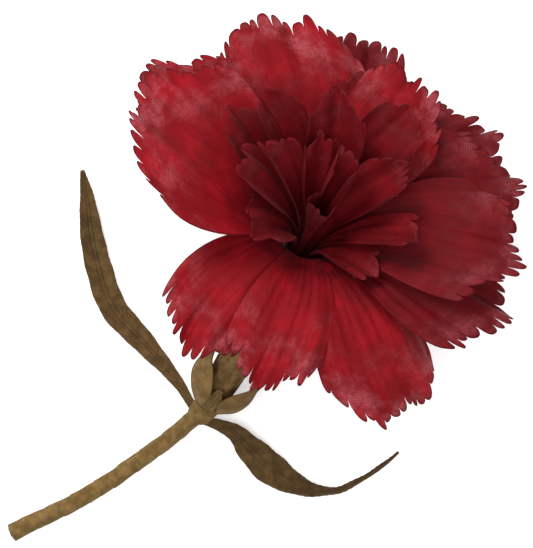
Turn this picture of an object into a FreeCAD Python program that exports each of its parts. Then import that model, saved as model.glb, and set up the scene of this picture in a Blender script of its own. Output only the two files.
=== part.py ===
import FreeCAD, Part
import math
import os
import Sketcher

# Fabric carnation on a spring clip, in millimetres.
# +Z is up from the table, +Y runs along the clip from its jaw to its finger end,
# and the origin is the middle of the clip's flat underside.

V = FreeCAD.Vector
doc = FreeCAD.newDocument("flowerClip")
sheet = doc.addObject("Spreadsheet::Sheet", "sheet")

sizes = {
    # spring clip
    "clipWidth": 8.0,
    "jawReach": 24.0,
    "tailReach": 22.0,
    "steelGauge": 0.8,
    "armSlope": 11.5,
    "tipGap": 0.15,
    "pivotReach": 26.0,
    "pivotGap": 0.6,
    "pinDiameter": 2.0,
    "pinClearance": 0.05,
    "earWall": 1.2,
    "earClearance": 0.2,
    "toothDepth": 0.7,
    "springWire": 0.6,
    "springTurns": 3.5,
    "springClearance": 0.1,
    "legClearance": 0.05,
    # calyx and what it stands on
    "calyxBack": 26.0,
    "calyxTilt": 16.0,
    "calyxLength": 38.0,
    "calyxBaseRadius": 3.7,
    "calyxMouthRadius": 6.2,
    "calyxWall": 0.5,
    "calyxLip": 2.0,
    "padThin": 1.77,
    "padWidth": 6.0,
    "padLength": 32.0,
    "plugDepth": 8.0,
    # petals
    "headTilt": 60.0,
    "clawLength": 16.0,
    "clawClearance": 0.3,
    "layerStep": 0.44,
    "petalGauge": 0.28,
    "outerClawWidth": 3.8,
    "outerThroatWidth": 6.0,
    "innerClawWidth": 2.0,
    "innerThroatWidth": 3.6,
    # stem and leaves
    "stemDiameter": 4.3,
    "wireDiameter": 2.0,
    "collarWall": 1.05,
    "collarLength": 5.0,
    "leafGauge": 0.8,
    "bractGauge": 0.6,
}

petalFields = ("turn", "layer", "reach", "breadth", "rise", "spread", "curl")
outerPetals = [
    (318, 2, 50, 44, 29, 73, 80),
    (347, 1, 47, 34, 33, 76, 86),
    (5, 3, 43, 33, 27, 66, 76),
    (30, 0, 48, 36, 36, 84, 94),
    (50, 2, 49, 38, 30, 78, 88),
    (73, 3, 49, 35, 27, 72, 84),
    (91, 1, 48, 32, 33, 84, 96),
    (131, 0, 49, 34, 34, 107, 136),
    (166, 2, 43, 34, 30, 92, 122),
    (206, 1, 42, 30, 33, 104, 130),
    (256, 3, 54, 46, 27, 72, 84),
    (285, 0, 50, 38, 36, 82, 94),
]
innerPetals = [
    (275, 4, 37, 16, 22, 50, 60),
    (8, 4, 38, 16, 22, 42, 48),
    (120, 4, 22, 13, 22, 50, 60),
    (303, 5, 38, 14, 19, 46, 50),
    (90, 5, 32, 11, 19, 38, 50),
    (228, 6, 30, 16, 16, 44, 56),
    (338, 6, 37, 18, 16, 32, 36),
    (250, 7, 36, 14, 13, 40, 54),
    (49, 7, 33, 16, 13, 26, 34),
    (264, 8, 35, 12, 10, 28, 44),
    (315, 9, 30, 12, 7, 28, 34),
    (190, 10, 24, 14, 5, 24, 30),
    (356, 10, 32, 14, 3, 12, 16),
]

row = 1


def writeSize(alias, value):
    global row
    sheet.set(f"A{row}", alias)
    sheet.set(f"B{row}", str(value))
    sheet.setAlias(f"B{row}", alias)
    row += 1


for alias, value in sizes.items():
    writeSize(alias, value)
for kind, table in (("outer", outerPetals), ("inner", innerPetals)):
    for number, values in enumerate(table, 1):
        for field, value in zip(petalFields, values):
            writeSize(f"{kind}{number:02d}{field}", value)
doc.recompute()


def size(alias):
    return float(getattr(sheet, alias))


def pointOf(words):
    """A sketch coordinate written with the sheet's words, as a bound formula."""
    for alias in sorted(sizes, key=len, reverse=True):
        words = words.replace("@" + alias, "sheet." + alias)
    return words


def originPlane(body, role):
    for feature in body.Origin.OriginFeatures:
        if feature.Role == role:
            return feature
    raise RuntimeError(role)


def newBody(name):
    body = doc.addObject("PartDesign::Body", name)
    body.Label = name
    return body


def newSketch(body, name, role="YZ_Plane"):
    sketch = body.newObject("Sketcher::SketchObject", name)
    sketch.AttachmentSupport = [(originPlane(body, role), "")]
    sketch.MapMode = "FlatFace"
    return sketch


def bindPoint(sketch, geometry, position, across, along):
    """Hold one point of a sketch at two formulas of the sheet."""
    for kind, formula in (("DistanceX", across), ("DistanceY", along)):
        number = sketch.addConstraint(Sketcher.Constraint(kind, -1, 1, geometry, position, 1.0))
        sketch.setExpression(f"Constraints[{number}]", pointOf(formula))


def polygonSketch(body, name, corners, role="YZ_Plane"):
    """A closed outline whose corners are pairs of formulas."""
    sketch = newSketch(body, name, role)
    rough = [V(worth(a), worth(b), 0) for a, b in corners]
    for index, start in enumerate(rough):
        sketch.addGeometry(Part.LineSegment(start, rough[(index + 1) % len(rough)]), False)
    for index in range(len(rough)):
        after = (index + 1) % len(rough)
        sketch.addConstraint(Sketcher.Constraint("Coincident", index, 2, after, 1))
    for index, (across, along) in enumerate(corners):
        bindPoint(sketch, index, 1, across, along)
    return sketch


def circleSketch(body, name, centre, radius, role="YZ_Plane"):
    sketch = newSketch(body, name, role)
    middle = V(worth(centre[0]), worth(centre[1]), 0)
    sketch.addGeometry(Part.Circle(middle, V(0, 0, 1), worth(radius)), False)
    number = sketch.addConstraint(Sketcher.Constraint("Radius", 0, worth(radius)))
    sketch.setExpression(f"Constraints[{number}]", pointOf(radius))
    bindPoint(sketch, 0, 3, *centre)
    return sketch


def worth(formula):
    """The present value of a formula of the sheet."""
    return float(sheet.evalExpression(pointOf(formula)))


def padBothWays(body, sketch, length):
    pad = body.newObject("PartDesign::Pad", sketch.Name + "Pad")
    pad.Profile = sketch
    pad.Midplane = True
    pad.setExpression("Length", pointOf(length))
    return pad


def pocketBothWays(body, sketch, length):
    pocket = body.newObject("PartDesign::Pocket", sketch.Name + "Pocket")
    pocket.Profile = sketch
    pocket.Midplane = True
    pocket.setExpression("Length", pointOf(length))
    return pocket


def shapeFeature(name, shape):
    feature = doc.addObject("Part::Feature", name)
    feature.Label = name
    feature.Shape = shape
    return feature


# ---- directions shared by the calyx and the petals

def leaning(tilt):
    """Unit vector in the middle plane, raised by tilt from +Y."""
    angle = math.radians(tilt)
    return V(0, math.cos(angle), math.sin(angle))


def underPlate(along):
    """Height of the upper arm's lower face at a place along the clip."""
    return f"@steelGauge + @tipGap + (@jawReach + {along}) * tan(@armSlope)"


def calyxFootHeight():
    """Lift the calyx until its mouth clears the clip's upper arm by the pad's thinnest place."""
    tilt = math.radians(size("calyxTilt"))
    length = size("calyxLength")
    radius = size("calyxMouthRadius")
    lowest = length * math.cos(tilt) + radius * math.sin(tilt) - size("calyxBack")
    plateTop = worth(underPlate(str(lowest)) + " + @steelGauge / cos(@armSlope)")
    return plateTop + size("padThin") + radius * math.cos(tilt) - length * math.sin(tilt)


calyxAxis = leaning(size("calyxTilt"))
calyxBase = V(0, -size("calyxBack"), calyxFootHeight())
calyxMouth = calyxBase + calyxAxis * size("calyxLength")
calyxPlace = FreeCAD.Placement(
    calyxBase, FreeCAD.Rotation(V(1, 0, 0), size("calyxTilt") - 90)
)
parts = []


# ---- spring clip

pivotAlong = "(@pivotReach - @jawReach)"
pivotHeight = "(@steelGauge + @pinDiameter / 2 + @earWall + @pivotGap)"
earRadius = "(@pinDiameter / 2 + @earWall)"
pivot = (pivotAlong, pivotHeight)


def lowerArm():
    body = newBody("lower_arm")
    floor = polygonSketch(body, "lowerPlate", [
        ("-@jawReach", "0"),
        ("@tailReach", "0"),
        ("@tailReach", "@steelGauge"),
        ("-@jawReach", "@steelGauge"),
    ])
    padBothWays(body, floor, "@clipWidth")
    jaw = [("-@jawReach + 1", "0.1"), ("-@jawReach + 1", underPlate("1 - @jawReach") + " - @tipGap")]
    teeth = 5
    for tooth in range(teeth):
        valley = f"(-@jawReach + {2.5 + 3 * tooth})"
        peak = f"(-@jawReach + {4 + 3 * tooth})"
        depth = 0.4 if tooth == 0 else 1
        jaw.append((valley, underPlate(valley) + f" - @tipGap - @toothDepth * {depth}"))
        jaw.append((peak, underPlate(peak) + " - @tipGap"))
    jaw.append((f"{pivotAlong} - {earRadius}", pivotHeight))
    jaw.append((f"{pivotAlong} + {earRadius}", pivotHeight))
    jaw.append((f"{pivotAlong} + {earRadius} + 2", "0.1"))
    padBothWays(body, polygonSketch(body, "lowerSides", jaw), "@clipWidth")
    padBothWays(body, circleSketch(body, "lowerEars", pivot, earRadius), "@clipWidth")
    inside = polygonSketch(body, "lowerInside", [
        ("-@jawReach - 1", "@steelGauge"),
        ("@tailReach + 1", "@steelGauge"),
        ("@tailReach + 1", f"{pivotHeight} + 2 * {earRadius}"),
        ("-@jawReach - 1", f"{pivotHeight} + 2 * {earRadius}"),
    ])
    pocketBothWays(body, inside, "@clipWidth - 2 * @steelGauge")
    hole = circleSketch(body, "lowerHole", pivot, "@pinDiameter / 2 + @pinClearance")
    pocketBothWays(body, hole, "2 * @clipWidth")
    return body


def upperArm():
    body = newBody("upper_arm")
    rise = "@steelGauge / cos(@armSlope)"
    plate = polygonSketch(body, "upperPlate", [
        ("-@jawReach", underPlate("-@jawReach")),
        ("@tailReach", underPlate("@tailReach")),
        ("@tailReach", underPlate("@tailReach") + " + " + rise),
        ("-@jawReach", underPlate("-@jawReach") + " + " + rise),
    ])
    padBothWays(body, plate, "@clipWidth")
    earWidth = "@clipWidth - 2 * @steelGauge - 2 * @earClearance"
    back = f"{pivotAlong} + {earRadius}"
    front = f"{pivotAlong} - {earRadius}"
    cheeks = polygonSketch(body, "upperCheeks", [
        (front, pivotHeight),
        (back, pivotHeight),
        (back, underPlate(back) + " + 0.1"),
        (front, underPlate(front) + " + 0.1"),
    ])
    padBothWays(body, cheeks, earWidth)
    padBothWays(body, circleSketch(body, "upperEars", pivot, earRadius), earWidth)
    inside = polygonSketch(body, "upperInside", [
        (front + " - 1", "0"),
        (back + " + 1", "0"),
        (back + " + 1", underPlate(back + " + 1")),
        (front + " - 1", underPlate(front + " - 1")),
    ])
    pocketBothWays(body, inside, earWidth + " - 2 * @steelGauge")
    pocketBothWays(body, circleSketch(body, "upperHole", pivot, "@pinDiameter / 2"), "2 * @clipWidth")
    return body


def hingePin():
    """A rivet: a shaft with a flat head outside each ear of the lower arm."""
    pieces = []
    for name, radius, length, centre in (
        ("pinShaft", "@pinDiameter / 2", "@clipWidth + 4 * @pinClearance", "0"),
        ("pinHeadRight", "@pinDiameter * 0.8", "@steelGauge / 2", "0.5"),
        ("pinHeadLeft", "@pinDiameter * 0.8", "@steelGauge / 2", "-0.5"),
    ):
        cylinder = doc.addObject("Part::Cylinder", name)
        cylinder.Placement.Rotation = FreeCAD.Rotation(V(0, 1, 0), 90)
        cylinder.setExpression("Radius", pointOf(radius))
        cylinder.setExpression("Height", pointOf(length))
        reach = "(@clipWidth + 4 * @pinClearance)"
        start = f"{centre} * ({reach} + {length}) - ({length}) / 2"
        cylinder.setExpression("Placement.Base.x", pointOf(f"({start}) * 1mm"))
        cylinder.setExpression("Placement.Base.y", pointOf(f"{pivotAlong} * 1mm"))
        cylinder.setExpression("Placement.Base.z", pointOf(f"{pivotHeight} * 1mm"))
        pieces.append(cylinder)
    pin = doc.addObject("Part::MultiFuse", "hinge_pin")
    pin.Label = "hinge_pin"
    pin.Shapes = pieces
    return pin


def torsionSpring():
    """A coil round the rivet with one leg along each arm's finger end."""
    wire = size("springWire")
    coil = size("pinDiameter") / 2 + wire / 2 + size("springClearance")
    pitch = wire * 1.15
    length = pitch * size("springTurns")
    centre = V(0, worth(pivot[0]), worth(pivot[1]))
    helix = Part.makeHelix(pitch, length, coil)
    start = V(coil, 0, 0)
    turnedPitch = V(0, 2 * math.pi * coil, pitch)
    ring = Part.Wire(Part.makeCircle(wire / 2, start, turnedPitch))
    spring = Part.Wire(helix).makePipeShell([ring], True, True)
    alongX = FreeCAD.Placement(V(-length / 2, 0, 0), FreeCAD.Rotation(V(0, 1, 0), 90))
    spring.Placement = FreeCAD.Placement(centre, FreeCAD.Rotation()).multiply(alongX)
    reach = size("tailReach") - worth(pivot[0]) - 6
    clear = size("legClearance") + wire / 2
    slope = math.cos(math.radians(size("armSlope")))
    underTip = worth(underPlate(f"{pivotAlong} + {reach}"))
    legs = []
    for side, tip in ((-1, size("steelGauge") + clear), (1, underTip - clear / slope)):
        foot = centre + V(side * length / 2, 0, side * coil)
        end = V(foot.x, foot.y + reach, tip)
        legs.append(Part.makeCylinder(wire / 2, (end - foot).Length, foot, end - foot))
    return shapeFeature("torsion_spring", spring.multiFuse(legs))


parts += [lowerArm(), upperArm(), hingePin(), torsionSpring()]


# ---- calyx, the plug in its mouth and the pad under it

flareStart = "(@calyxLength - @plugDepth)"


def calyxTube():
    """A tube that swells to its mouth, closed at the stem end."""
    body = newBody("calyx")
    outside = polygonSketch(body, "calyxOutside", [
        ("0", "0"),
        ("@calyxBaseRadius", "0"),
        ("@calyxBaseRadius * 1.1", "@calyxLength * 0.35"),
        ("@calyxMouthRadius", flareStart),
        ("@calyxMouthRadius", "@calyxLength + @calyxLip"),
        ("0", "@calyxLength + @calyxLip"),
    ], "XZ_Plane")
    turned = body.newObject("PartDesign::Revolution", "calyxTurned")
    turned.Profile = outside
    turned.ReferenceAxis = (outside, ["V_Axis"])
    turned.Angle = 360
    doc.recompute()
    hollow = polygonSketch(body, "calyxHollow", [
        ("0", "4"),
        ("@calyxBaseRadius - @calyxWall", "4"),
        ("@calyxBaseRadius * 1.1 - @calyxWall", "@calyxLength * 0.35"),
        ("@calyxMouthRadius - @calyxWall", flareStart),
        ("@calyxMouthRadius - @calyxWall", "@calyxLength + @calyxLip + 1"),
        ("0", "@calyxLength + @calyxLip + 1"),
    ], "XZ_Plane")
    groove = body.newObject("PartDesign::Groove", "calyxGroove")
    groove.Profile = hollow
    groove.ReferenceAxis = (hollow, ["V_Axis"])
    groove.Angle = 360
    body.Placement = calyxPlace
    doc.recompute()
    return body


def petalPlug():
    """The set glue that the petals' claws stand in."""
    plug = doc.addObject("Part::Cylinder", "petal_plug")
    plug.Label = "petal_plug"
    plug.setExpression("Radius", pointOf("@calyxMouthRadius - @calyxWall"))
    plug.setExpression("Height", pointOf("@plugDepth"))
    plug.Placement = FreeCAD.Placement(calyxMouth - calyxAxis * size("plugDepth"), calyxPlace.Rotation)
    return plug


def feltPad(calyxForm):
    """Felt between the clip's upper arm and the calyx, hollowed to fit the calyx."""
    slope = size("armSlope")
    plateTop = V(0, 2 - size("jawReach"), worth(underPlate("2 - @jawReach")))
    plateTop.z += size("steelGauge") / math.cos(math.radians(slope))
    width = size("padWidth")
    height = calyxBase.z
    pad = Part.makeBox(width, size("padLength"), height, V(-width / 2, 0, 0))
    pad.Placement = FreeCAD.Placement(plateTop, FreeCAD.Rotation(V(1, 0, 0), slope))
    pieces = sorted(pad.cut(calyxForm).Solids, key=lambda solid: solid.CenterOfMass.z)
    return shapeFeature("felt_pad", pieces[0])


calyx = calyxTube()
parts += [calyx, petalPlug(), feltPad(calyx.Shape)]


# ---- petals and bracts: thin shells lofted through arcs about a leaning axis

def arcSection(middle, radius, tilt, lean, turn, halfAngle, gauge):
    """Closed outline of a shell's cross-section: two arcs and two short ends."""
    axis = leaning(lean)
    outwards = V(0, axis.z, -axis.y)
    sideways = V(1, 0, 0)
    tiltAngle = math.radians(tilt)
    faces = []
    for side in (-0.5, 0.5):
        arc = []
        for step in (-1, 0, 1):
            angle = math.radians(turn + step * halfAngle)
            ray = outwards * math.cos(angle) + sideways * math.sin(angle)
            normal = axis * math.sin(tiltAngle) - ray * math.cos(tiltAngle)
            arc.append(middle + ray * radius + normal * (gauge * side))
        faces.append(arc)
    below, above = faces
    edges = [
        Part.Arc(*below).toShape(),
        Part.makeLine(below[2], above[2]),
        Part.Arc(above[2], above[1], above[0]).toShape(),
        Part.makeLine(above[0], below[0]),
    ]
    return Part.Wire(edges)


def loftedShell(sections):
    """A solid through the sections, whose curved ends are closed by ruled faces."""
    sides = Part.makeLoft(sections, False, False)
    ends = [Part.makeRuledSurface(wire.Edges[0], wire.Edges[2]) for wire in (sections[0], sections[-1])]
    skin = Part.makeShell(sides.Faces + ends)
    skin.sewShape()
    solid = Part.makeSolid(skin)
    if solid.Volume < 0:
        solid.reverse()
    return solid


def petalSections(kind, number):
    """Follow a petal's middle line out of the claw, and lay a section at each station."""
    turn, layer, reach, breadth, rise, spread, curl = (
        size(f"{kind}{number:02d}{field}") for field in petalFields
    )
    claw = size("clawLength")
    whole = claw + reach
    rounding = 0.28 * breadth
    clawWidth = size(kind + "ClawWidth")
    throatWidth = size(kind + "ThroatWidth")
    stations = [0, claw * 0.2, claw * 0.4, claw * 0.75, claw]
    stations += [claw + (reach - rounding) * share for share in (0.25, 0.5, 0.75, 1)]
    stations += [whole - rounding * share for share in (0.5, 0.2, 0.04)]
    steps = 240
    stride = whole / steps
    radius = size("calyxMouthRadius") - size("calyxWall") - size("clawClearance")
    radius -= layer * size("layerStep")
    middle = V(calyxMouth)
    height = 0
    risen = 0
    sections = []
    for step in range(steps + 1):
        along = step * stride
        share = min(1, along / claw)
        risen = max(risen, min(1, height / claw))
        lean = size("calyxTilt")
        lean += (size("headTilt") - lean) * risen * risen * (3 - 2 * risen)
        if along < claw:
            tilt = rise * share ** 3
            width = clawWidth + (throatWidth - clawWidth) * share ** 2
        else:
            out = (along - claw) / reach
            tilt = rise + (spread - rise) * (1 - (1 - out) ** 3) + (curl - spread) * out ** 2
            swell = math.sin(min(1, out / 0.75) * math.pi / 2) ** 1.8
            width = throatWidth + (breadth - throatWidth) * swell
        if stations and along >= stations[0] - stride / 2:
            stations.pop(0)
            ending = min(1, math.sqrt((whole - along) / rounding))
            halfAngle = math.degrees(width / 2 * ending / radius)
            sections.append(
                arcSection(middle, radius, tilt, lean, turn, halfAngle, size("petalGauge"))
            )
        radius += stride * math.sin(math.radians(tilt))
        height += stride * math.cos(math.radians(tilt))
        middle = middle + leaning(lean) * (stride * math.cos(math.radians(tilt)))
    return sections


for kind, table in (("outer", outerPetals), ("inner", innerPetals)):
    for number in range(1, len(table) + 1):
        petal = loftedShell(petalSections(kind, number))
        parts.append(shapeFeature(f"{kind}_petal_{number:02d}", petal))


def bract(name, turn, stations):
    """A leafy scale of the cup round the calyx's foot: height, radius and half angle."""
    gauge = size("bractGauge")
    lean = size("calyxTilt")
    sections = []
    for index, (height, gap, halfAngle) in enumerate(stations):
        later = stations[min(index + 1, len(stations) - 1)]
        sooner = stations[max(index - 1, 0)]
        tilt = math.degrees(math.atan2(later[1] - sooner[1], later[0] - sooner[0]))
        middle = calyxBase + calyxAxis * height
        radius = size("calyxBaseRadius") + gauge / 2 + gap
        sections.append(arcSection(middle, radius, tilt, lean, turn, halfAngle, gauge))
    return shapeFeature(name, loftedShell(sections))


parts.append(bract("bract_left", 242, [
    (0.4, 0.15, 44), (3, 2.4, 54), (6.5, 3.9, 54), (11, 3.4, 38), (15, 2.6, 10),
]))
parts.append(bract("bract_right", 106, [
    (0.4, 0.15, 44), (2.4, 2.6, 56), (5.5, 4.2, 58), (9, 4.5, 42), (12, 4.2, 8),
]))
parts.append(bract("bract_front", 174, [
    (0.4, 0.15, 14), (2.5, 1.1, 16), (5, 1.9, 14), (7, 2.2, 5),
]))


# ---- stem, its wrap, and the leaves

stemRoute = [V(-27, -78.5, 2.2), V(-14.5, -60.5, 2.2), V(-4.6, -39, 3.2)]


def stemPath():
    """Straight runs joined by tangent arcs, ending past the calyx's foot."""
    corners = stemRoute + [V(calyxBase)]
    last = (corners[-1] - corners[-2]).normalize()
    corners[-1] = corners[-1] + last * 3
    edges = []
    here = corners[0]
    for before, corner, after in zip(corners, corners[1:], corners[2:]):
        inward = (before - corner).normalize()
        outward = (after - corner).normalize()
        cut = 0.45 * min((before - corner).Length, (after - corner).Length)
        turn = math.pi - inward.getAngle(outward)
        radius = cut / math.tan(turn / 2)
        start = corner + inward * cut
        end = corner + outward * cut
        bisector = (inward + outward).normalize()
        centre = corner + bisector * (radius / math.cos(turn / 2))
        middle = centre - bisector * radius
        edges.append(Part.makeLine(here, start))
        edges.append(Part.Arc(start, middle, end).toShape())
        here = end
    edges.append(Part.makeLine(here, corners[-1]))
    return Part.Wire(edges)


def sweptRod(path, radius):
    start = path.Vertexes[0].Point
    heading = path.Edges[0].tangentAt(path.Edges[0].FirstParameter)
    ring = Part.Wire(Part.makeCircle(radius, start, heading))
    rod = path.makePipeShell([ring], True, False)
    expected = math.pi * radius ** 2 * path.Length
    if abs(rod.Volume / expected - 1) > 0.01:
        raise RuntimeError("the stem's sweep has lost its section")
    return rod


def belowCalyx(shape):
    """What is left of a shape on the stem's side of the calyx's foot."""
    block = Part.makeBox(40, 40, 40, V(-20, -20, 0))
    block.Placement = calyxPlace
    return shape.cut(block)


path = stemPath()
stemRadius = size("stemDiameter") / 2
stemCore = sweptRod(path, size("wireDiameter") / 2)
stemRod = sweptRod(path, stemRadius)
parts.append(shapeFeature("stem_wire", belowCalyx(stemCore)))
parts.append(shapeFeature("stem_wrap", belowCalyx(stemRod.cut(stemCore))))

collarWay = (calyxBase - stemRoute[-1]).normalize()
collarFoot = calyxBase - collarWay * size("collarLength")
collarRadius = stemRadius + size("collarWall")
collar = Part.makeCylinder(collarRadius, size("collarLength") + 3, collarFoot, collarWay)
parts.append(shapeFeature("leaf_collar", belowCalyx(collar.cut(stemRod))))


def leaf(name, stations):
    """A thin leaf lofted along its midrib, its foot cut to seat on the collar.

    Each station is a place, a half width, a side lean and a trough depth."""
    gauge = size("leafGauge")
    sections = []
    for index, (place, half, lean, trough) in enumerate(stations):
        later = stations[min(index + 1, len(stations) - 1)][0]
        sooner = stations[max(index - 1, 0)][0]
        way = (later - sooner).normalize()
        level = way.cross(V(0, 0, 1)).normalize()
        upright = level.cross(way).normalize()
        angle = math.radians(lean)
        side = level * math.cos(angle) + upright * math.sin(angle)
        normal = upright * math.cos(angle) - level * math.sin(angle)
        faces = []
        for offset in (-gauge / 2, gauge / 2):
            faces.append([
                place - side * half + normal * (offset + trough),
                place + normal * offset,
                place + side * half + normal * (offset + trough),
            ])
        below, above = faces
        sections.append(Part.Wire([
            Part.Arc(*below).toShape(),
            Part.makeLine(below[2], above[2]),
            Part.Arc(above[2], above[1], above[0]).toShape(),
            Part.makeLine(above[0], below[0]),
        ]))
    seated = loftedShell(sections).cut(collar)
    blade = max(seated.Solids, key=lambda solid: solid.Volume)
    return shapeFeature(name, blade)


parts.append(leaf("leaf_left", [
    (V(-2.3, -28.8, 5.5), 0.9, 20, 0.2),
    (V(-10.5, -24.5, 3.8), 1.5, 10, 0.4),
    (V(-22.5, -20.4, 2.2), 2.8, 0, 0.6),
    (V(-33, -16.8, 1.4), 3.3, 0, 0.7),
    (V(-41.5, -9.5, 1.4), 3.2, 0, 0.7),
    (V(-47.5, -2.6, 2.4), 2.7, 0, 0.6),
    (V(-52.3, 3.9, 4.2), 1.7, 0, 0.4),
    (V(-56.4, 8.8, 6.2), 0.5, 0, 0.1),
]))
parts.append(leaf("leaf_right", [
    (V(-0.2, -30.0, 5.6), 0.9, -20, 0.2),
    (V(8.2, -28.6, 3.8), 2.0, -10, 0.4),
    (V(14.5, -30.4, 2.4), 3.4, 0, 0.7),
    (V(20.5, -32.0, 1.6), 4.0, 6, 0.8),
    (V(26.3, -32.6, 1.8), 3.4, 22, 0.7),
    (V(32.4, -32.0, 2.8), 2.5, 50, 0.5),
    (V(38.5, -28.6, 5.0), 1.9, 70, 0.4),
    (V(42.5, -22.3, 8.2), 1.5, 75, 0.3),
    (V(45.0, -16.6, 11.6), 0.9, 75, 0.2),
    (V(46.2, -12.5, 14.0), 0.4, 75, 0.1),
]))


# ---- check and write

doc.recompute()
for item in doc.Objects:
    if "Invalid" in item.State or "Error" in item.State:
        raise RuntimeError(f"{item.Name} failed: {item.State}")
for piece in parts:
    shape = piece.Shape
    if shape.isNull() or not shape.isValid():
        raise RuntimeError(f"{piece.Label} has no sound shape")
    if len(shape.Solids) != 1:
        raise RuntimeError(f"{piece.Label} has {len(shape.Solids)} solids")
os.makedirs("parts", exist_ok=True)
for piece in parts:
    piece.Shape.exportStep(f"parts/{piece.Label}.step")
print(len(parts), "parts written")
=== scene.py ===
import math

import bpy
import numpy as np
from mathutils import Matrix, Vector
from mathutils.bvhtree import BVHTree


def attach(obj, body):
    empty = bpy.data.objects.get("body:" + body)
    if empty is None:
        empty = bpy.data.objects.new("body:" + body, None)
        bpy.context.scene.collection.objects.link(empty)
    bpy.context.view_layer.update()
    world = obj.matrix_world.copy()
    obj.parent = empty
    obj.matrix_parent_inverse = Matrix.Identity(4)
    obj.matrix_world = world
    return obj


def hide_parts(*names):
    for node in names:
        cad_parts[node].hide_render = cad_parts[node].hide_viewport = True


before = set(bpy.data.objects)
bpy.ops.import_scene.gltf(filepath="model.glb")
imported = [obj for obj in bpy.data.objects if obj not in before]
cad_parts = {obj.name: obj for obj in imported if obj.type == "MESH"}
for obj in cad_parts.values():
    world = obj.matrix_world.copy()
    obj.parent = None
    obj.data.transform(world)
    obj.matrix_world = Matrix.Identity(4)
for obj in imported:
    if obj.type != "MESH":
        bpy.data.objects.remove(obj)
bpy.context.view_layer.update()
mm = 0.001
fullTurn = 2 * math.pi
anyPhase = 6.3  # random waves start anywhere in about one turn
flowerBody = "flower"
print("frame loaded:", len(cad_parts), "nodes")


def ramp(values):
    # eased step from 0 to 1
    t = np.clip(values, 0, 1)
    return t * t * (3 - 2 * t)


def gridObject(name, points, spans, material, wrap=False, capped=False):
    # points: rows x columns x 3 in mm; spans: rows x columns x 4, metric then share
    rows, columns = points.shape[:2]
    faces = []
    corners = []
    last = columns if wrap else columns - 1
    for row in range(rows - 1):
        for column in range(last):
            after = (column + 1) % columns
            a = row * columns + column
            b = row * columns + after
            faces.append((a, b, b + columns, a + columns))
            corners += [(row, column), (row, column + 1), (row + 1, column + 1), (row + 1, column)]
    if capped:
        faces.append(tuple(reversed(range(columns))))
        corners += [(0, column) for column in reversed(range(columns))]
        faces.append(tuple(range((rows - 1) * columns, rows * columns)))
        corners += [(rows - 1, column) for column in range(columns)]
    mesh = bpy.data.meshes.new(name)
    mesh.from_pydata((points.reshape(-1, 3) * mm).tolist(), [], faces)
    picked = np.array([spans[r, min(c, spans.shape[1] - 1)] for r, c in corners])
    for layer, pair in (("cloth", (0, 1)), ("span", (2, 3))):
        uv = mesh.uv_layers.new(name=layer)
        uv.data.foreach_set("uv", picked[:, pair].astype(np.float32).ravel())
    mesh.polygons.foreach_set("use_smooth", [True] * len(mesh.polygons))
    mesh.materials.append(material)
    obj = bpy.data.objects.new(name, mesh)
    bpy.context.collection.objects.link(obj)
    return obj


def spread(like, *layers):
    # stacks single values, rows and columns to one grid
    return np.stack([np.broadcast_to(layer, like.shape) for layer in layers], -1)


def closeSpans(spans, girth):
    # the first column again, one turn on, for the seam of a wrapped grid
    return np.concatenate([spans, spans[:, :1] + np.array([girth, 0, 1, 0])], 1)


def addThickness(obj, thickness, offset=0.0):
    solid = obj.modifiers.new("thickness", "SOLIDIFY")
    solid.thickness = thickness * mm
    solid.offset = offset


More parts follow.
